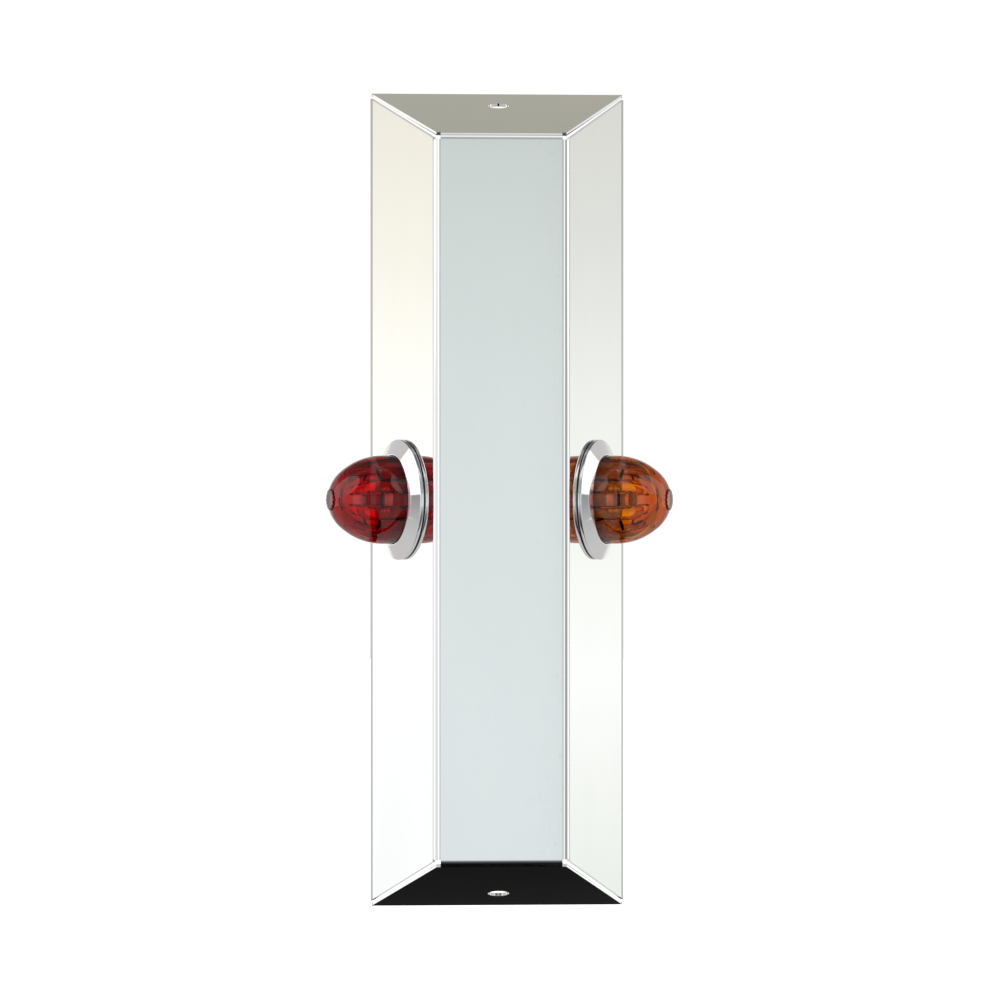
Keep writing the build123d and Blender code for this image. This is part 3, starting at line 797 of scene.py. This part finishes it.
def build_world():
    """Soft studio: white behind and beside, pale grey in front, warm grey above, dark below."""
    world = bpy.data.worlds.new("studio")
    scene.world = world
    world.use_nodes = True
    nodes = Nodes(world.node_tree)
    direction = nodes.add("ShaderNodeSeparateXYZ")
    nodes.put(direction.inputs[0], nodes.add("ShaderNodeTexCoord").outputs["Generated"])
    x, y, z = direction.outputs
    height = nodes.math("MULTIPLY_ADD", z, 0.5, 0.5)    # 0 straight down, 1 straight up
    turn = nodes.math("ARCTAN2", nodes.math("ABSOLUTE", x), nodes.math("MULTIPLY", y, -1.0))
    turn = nodes.math("DIVIDE", turn, math.pi)          # 0 towards the camera, 1 behind the box

    def bands(*stops):
        """Ramp by the direction's upward component, -1 straight down to 1 straight up."""
        return nodes.ramp(height, *((0.5 + 0.5 * place, tone) for place, tone in stops))

    def both(a, b):
        return nodes.math("MULTIPLY", a, b)

    # In front of the box: pale and bluish, banded above, dark below.
    front = bands(
        (-0.97, 0.0025), (-0.92, 0.006), (-0.82, (0.02, 0.023, 0.024)), (-0.64, (0.055, 0.062, 0.066)),
        (-0.44, (0.2, 0.215, 0.22)), (-0.24, (0.53, 0.56, 0.57)), (-0.17, (0.79, 0.84, 0.85)),
        (-0.1, (0.8, 0.85, 0.855)), (0.06, (0.745, 0.8, 0.79)), (0.16, (0.66, 0.71, 0.69)),
        (0.22, (0.44, 0.47, 0.46)), (0.5, (0.39, 0.41, 0.4)), (0.58, 0.5), (0.7, 0.95), (0.88, 0.95),
        (0.925, 0.42), (0.965, 0.42), (0.985, 0.7),
    )
    low_behind = (
        (-0.9, 0.0022), (-0.73, (0.0078, 0.0078, 0.007)), (-0.6, 0.009), (-0.5, 0.08), (-0.32, 0.62),
    )
    high_behind = (
        (0.26, 0.62), (0.46, (0.6, 0.57, 0.55)), (0.6, (0.41, 0.4, 0.34)), (0.88, 0.38), (0.95, 0.8),
    )
    behind_left = bands(
        *low_behind, (-0.2, 1.05), (-0.02, 1.12), (0.05, (1.14, 1.12, 1.04)), (0.11, (1.02, 0.99, 0.88)),
        (0.17, (0.94, 0.9, 0.8)), *high_behind,
    )
    behind_right = bands(
        *low_behind, (-0.2, (0.86, 0.9, 0.84)), (-0.08, (1.07, 1.08, 1.05)), (-0.02, (1.0, 1.02, 0.97)),
        (0.05, (0.92, 0.94, 0.9)), (0.12, (0.8, 0.81, 0.77)), (0.17, (0.76, 0.76, 0.71)), *high_behind,
    )
    # Beside the box: a bright wall with a dark top, ahead of the flanges and level with them.
    flank = bands((-0.6, 0.0025), (-0.35, 0.9), (0.18, 1.2), (0.3, 0.16), (0.95, 0.16), (0.99, 0.7))
    sides = bands((-0.6, 0.0025), (-0.35, 1.3), (0.46, 1.3), (0.54, 0.3), (0.95, 0.3), (0.99, 0.7))
    horizon = bands(
        (-0.45, 0.6), (-0.3, 0.52), (-0.1, 0.38), (0.06, 0.3), (0.068, 1.3), (0.46, 1.3), (0.54, 0.3),
    )

    # The tones follow each other round the box, from in front of it to behind it.
    right = nodes.between(x, -0.25, 0.25)
    behind = nodes.mix(right, behind_left, behind_right)
    out = nodes.math("ABSOLUTE", x)
    beside = nodes.between(out, 0.1, 0.17)
    steep = nodes.between(nodes.math("ABSOLUTE", z), 0.2, 0.26)
    near_left = both(nodes.between(turn, 0.432, 0.438), nodes.between(turn, 0.48, 0.474))
    near_right = both(nodes.between(turn, 0.452, 0.458), nodes.between(turn, 0.5, 0.494))
    narrow = nodes.mix(right, near_left, near_right)
    wide = both(both(steep, beside), nodes.between(turn, 0.43, 0.44))
    colour = nodes.mix(nodes.between(turn, 0.1, 0.2), front, flank)
    colour = nodes.mix(nodes.between(turn, 0.4, 0.43), colour, sides)
    colour = nodes.mix(nodes.between(turn, 0.62, 0.64), colour, behind)
    colour = nodes.mix(both(beside, nodes.between(z, -0.22, -0.32)), colour, rgba((0.6, 0.58, 0.57)))
    colour = nodes.mix(both(beside, nodes.between(z, 0.46, 0.54)), colour, rgba(0.16))
    low_sides = both(nodes.math("MAXIMUM", narrow, wide), nodes.between(turn, 0.64, 0.62))
    colour = nodes.mix(low_sides, colour, horizon)

    # One large round light on each side.
    lamp = nodes.add("ShaderNodeVectorMath", operation="DOT_PRODUCT")
    mirrored = nodes.add("ShaderNodeCombineXYZ")
    for i, value in enumerate((out, y, z)):
        nodes.put(mirrored.inputs[i], value)
    nodes.put(lamp.inputs[0], mirrored.outputs[0])
    towards_light, outer_cosine, inner_cosine = (0.79, -0.27, 0.55), 0.87, 0.885
    lamp.inputs[1].default_value = towards_light
    softbox = nodes.between(lamp.outputs["Value"], outer_cosine, inner_cosine)
    colour = nodes.mix(softbox, colour, rgba(1.35))

    # Narrow upright bands near the horizon, which the side folds and the bezels show.
    flat = nodes.between(nodes.math("ABSOLUTE", z), 0.3, 0.22)
    dark_behind = ((0.65, 0.15), (0.695, 0.15), (0.712, 1.0))
    stripes = nodes.mix(
        right,
        nodes.ramp(turn, (0.02, 1.0), (0.03, 0.4), (0.07, 0.42), (0.085, 1.4), (0.19, 1.4), (0.21, 0.72),
                   (0.36, 0.75), (0.39, 1.0), (0.61, 1.0), *dark_behind),
        nodes.ramp(turn, (0.02, 1.0), (0.03, 0.4), (0.07, 0.42), (0.085, 1.2), (0.17, 1.2), (0.2, 0.5),
                   (0.27, 0.3), (0.37, 0.36), (0.43, 1.0), (0.61, 1.0), *dark_behind),
    )
    colour = nodes.mix(flat, colour, nodes.mix(1.0, colour, stripes, "MULTIPLY"))

    # The camera sees a plain white backdrop; only reflections and glass see the studio.
    backdrop = rgba(1.02)
    seen = nodes.add("ShaderNodeLightPath").outputs["Is Camera Ray"]
    background = nodes.add("ShaderNodeBackground")
    nodes.put(background.inputs["Color"], nodes.mix(seen, colour, backdrop))
    background.inputs["Strength"].default_value = 1.0
    output = nodes.add("ShaderNodeOutputWorld")
    nodes.put(output.inputs["Surface"], background.outputs[0])


def build_camera():
    """Level camera in front of the box, a little to the left, turned back towards it."""
    distance, offset, yaw = 1.3098, -0.0401, math.radians(1.71)
    data = bpy.data.cameras.new("camera")
    data.lens = 78.6
    data.sensor_width = 36.0
    data.clip_start, data.clip_end = 0.05, 50.0
    camera = bpy.data.objects.new("camera", data)
    scene.collection.objects.link(camera)
    camera.location = (offset, panel_low.y - distance, -0.0002)
    camera.rotation_euler = (math.pi / 2, 0, -yaw)
    scene.camera = camera


build_floor()
build_world()
build_camera()
scene.view_settings.view_transform = "Standard"
scene.view_settings.look = "None"
